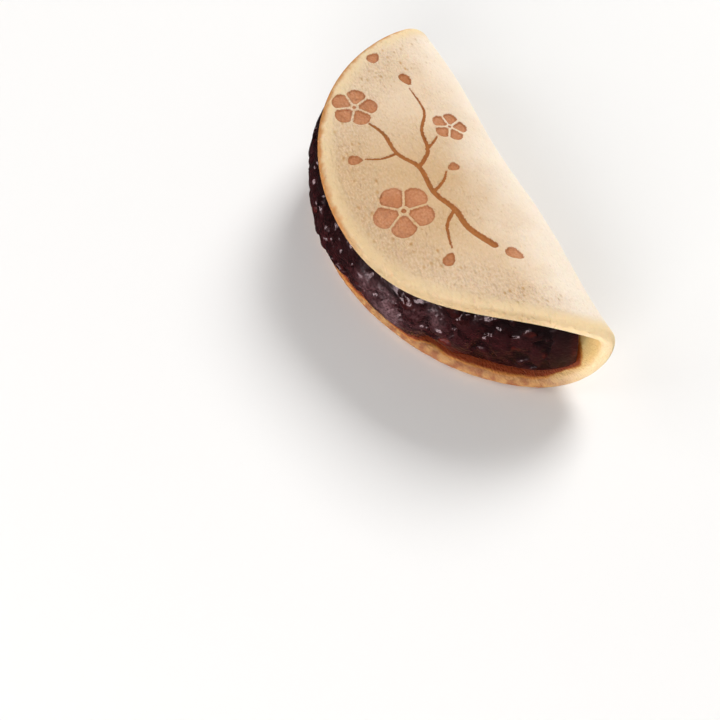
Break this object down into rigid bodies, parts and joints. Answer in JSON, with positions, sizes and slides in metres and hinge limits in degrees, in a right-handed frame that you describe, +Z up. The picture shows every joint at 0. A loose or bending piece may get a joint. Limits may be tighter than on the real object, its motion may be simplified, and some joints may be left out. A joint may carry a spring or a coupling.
{
  "type": "dorayaki",
  "caption": "Round pancake folded over a thick layer of chunky sweet red bean paste, lying on its lower flap with the open side to the front.",
  "frame": {"origin": "middle of the bounding box, on the plane the lower flap rests on", "axes": "+X along the fold towards its higher end, +Y towards the fold, -Y towards the open side, +Z up"},
  "size_m": [0.12, 0.0554, 0.0327],
  "materials": {
    "pancake_skin": "soft matte griddled cake, pale beige with a cream rim",
    "bean_paste": "moist, glossy dark purple-brown paste with whole beans"
  },
  "bodies": {
    "root": {"pancake": "pancake_skin", "bean_filling": "bean_paste"}
  },
  "joints": []
}
